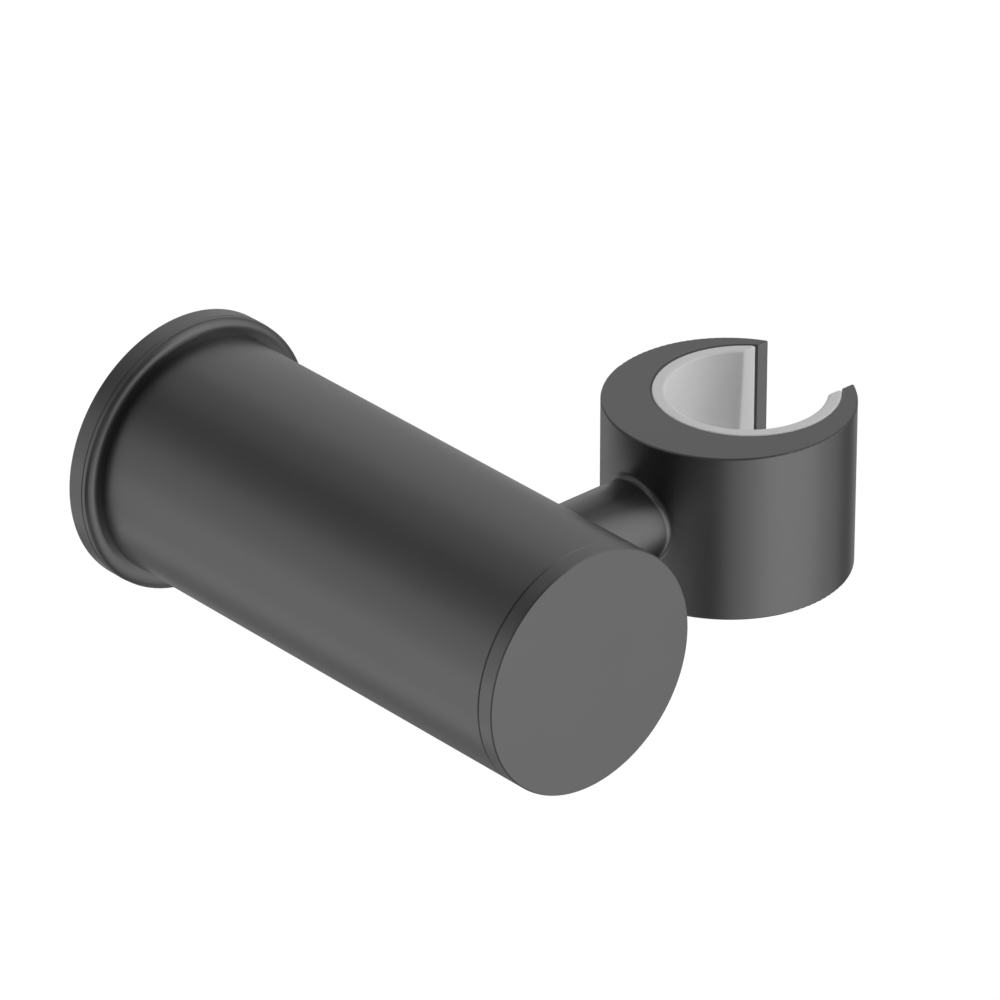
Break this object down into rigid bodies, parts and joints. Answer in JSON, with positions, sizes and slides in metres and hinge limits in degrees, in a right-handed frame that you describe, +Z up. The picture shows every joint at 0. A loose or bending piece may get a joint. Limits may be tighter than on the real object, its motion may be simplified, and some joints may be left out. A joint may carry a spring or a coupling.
{
  "type": "hand shower holder",
  "caption": "Wall holder for a hand shower: a round hollow arm with a flared foot and an open, plastic-lined ring that swivels on a short side stem.",
  "frame": {"origin": "centre of the wall plate's back face, on the wall and on the arm's axis", "axes": "+X from the arm towards the ring, along the stem; -Y straight out of the wall along the arm; +Z up"},
  "size_m": [0.0848, 0.0834, 0.04],
  "materials": {
    "coated_brass": "satin anthracite coating on turned brass",
    "liner_plastic": "moulded, fine matt, off-white",
    "bare_brass": "turned, uncoated",
    "stainless_steel": "turned, uncoated",
    "seal_rubber": "matt",
    "bush_plastic": "turned acetal, natural"
  },
  "bodies": {
    "wall_bracket": {"wall_plate": "coated_brass", "wall_gasket": "seal_rubber", "body_tube": "coated_brass", "body_grub_screw": "stainless_steel", "end_cap": "coated_brass", "cap_seal": "seal_rubber", "pivot_block": "bare_brass", "block_grub_screw": "stainless_steel", "outer_bush": "bush_plastic", "inner_bush": "bush_plastic"},
    "holder": {"holder_ring": "coated_brass", "ring_liner": "liner_plastic", "stem_seal": "seal_rubber", "spindle": "stainless_steel", "friction_washer": "bare_brass", "disc_springs": "stainless_steel", "tab_washer": "stainless_steel", "spindle_nut": "bare_brass"}
  },
  "joints": [
    {"name": "ring_swivel", "type": "hinge", "parent": "wall_bracket", "child": "holder", "pos_m": [0.0496, -0.0569, 0], "axis": [1, 0, 0], "continuous": true}
  ]
}
